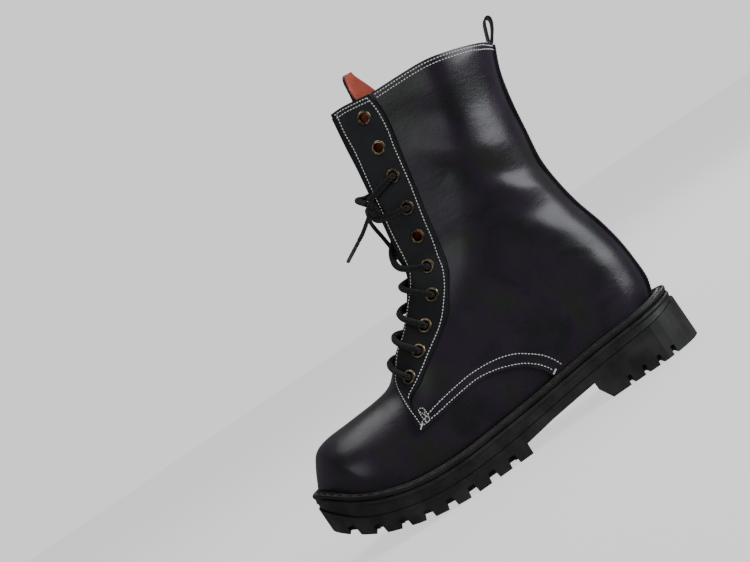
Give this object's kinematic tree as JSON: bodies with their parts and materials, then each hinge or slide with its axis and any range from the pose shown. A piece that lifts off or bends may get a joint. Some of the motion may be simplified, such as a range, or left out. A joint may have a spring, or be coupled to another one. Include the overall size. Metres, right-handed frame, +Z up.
{
  "type": "lace-up work boot",
  "caption": "Left lace-up leather work boot with a tall shaft, brass eyelets, corded lace, fold-over pull loop and a thick lugged rubber sole on a storm welt.",
  "frame": {"origin": "Middle of the boot's footprint box on the ground, under the instep", "axes": "+Z up, -X towards the toe, +X towards the heel, +Y towards the medial side of this left boot"},
  "size_m": [0.3202, 0.113, 0.3135],
  "materials": {
    "upper_leather": "smooth polished black leather with fine creases",
    "facing_leather": "polished black leather, edges stitched in white thread",
    "red_lining": "matt orange-red lining leather",
    "sock_liner": "dark woven sock liner",
    "fibre_board": "pressed leather-fibre board",
    "cork": "granulated cork filler",
    "shank_steel": "plain spring steel strip",
    "sole_rubber": "moulded black rubber, matt",
    "welt_rubber": "black storm welt, satin, with brown long stitches",
    "eyelet_brass": "antique brass, darkened in the recesses",
    "lace_fabric": "tightly braided black polyester",
    "aglet_plastic": "dark grey wrapped plastic tip"
  },
  "bodies": {
    "boot": {"outsole": "sole_rubber", "midsole": "sole_rubber", "welt": "welt_rubber", "bottom_filler": "cork", "insole_board": "fibre_board", "sock_liner": "sock_liner", "shank": "shank_steel", "vamp": "upper_leather", "toe_puff": "fibre_board", "vamp_lining": "red_lining", "quarter_lateral": "upper_leather", "facing_lateral": "facing_leather", "lining_lateral": "red_lining", "eyelet_lateral_01": "eyelet_brass", "eyelet_lateral_02": "eyelet_brass", "eyelet_lateral_03": "eyelet_brass", "eyelet_lateral_04": "eyelet_brass", "eyelet_lateral_05": "eyelet_brass", "eyelet_lateral_06": "eyelet_brass", "eyelet_lateral_07": "eyelet_brass", "eyelet_lateral_08": "eyelet_brass", "eyelet_lateral_09": "eyelet_brass", "eyelet_lateral_10": "eyelet_brass", "quarter_medial": "upper_leather", "facing_medial": "facing_leather", "lining_medial": "red_lining", "eyelet_medial_01": "eyelet_brass", "eyelet_medial_02": "eyelet_brass", "eyelet_medial_03": "eyelet_brass", "eyelet_medial_04": "eyelet_brass", "eyelet_medial_05": "eyelet_brass", "eyelet_medial_06": "eyelet_brass", "eyelet_medial_07": "eyelet_brass", "eyelet_medial_08": "eyelet_brass", "eyelet_medial_09": "eyelet_brass", "eyelet_medial_10": "eyelet_brass", "heel_counter": "fibre_board", "backstay": "facing_leather", "lace": "lace_fabric", "lace_knot": "lace_fabric", "lace_end_lateral": "lace_fabric", "aglet_lateral": "aglet_plastic", "lace_end_medial": "lace_fabric", "aglet_medial": "aglet_plastic"},
    "tongue": {"tongue": "upper_leather", "tongue_lining": "red_lining"},
    "pull_loop": {"pull_loop": "upper_leather"}
  },
  "joints": [
    {"name": "tongue_fold", "type": "hinge", "parent": "boot", "child": "tongue", "pos_m": [-0.0445, 0, 0.104], "axis": [0, 1, 0], "range_deg": [0, 8]},
    {"name": "pull_loop_fold", "type": "hinge", "parent": "boot", "child": "pull_loop", "pos_m": [0.1506, 0, 0.2748], "axis": [0, 1, 0], "range_deg": [-60, 70], "stiffness_Nm_per_rad": 0.005}
  ]
}
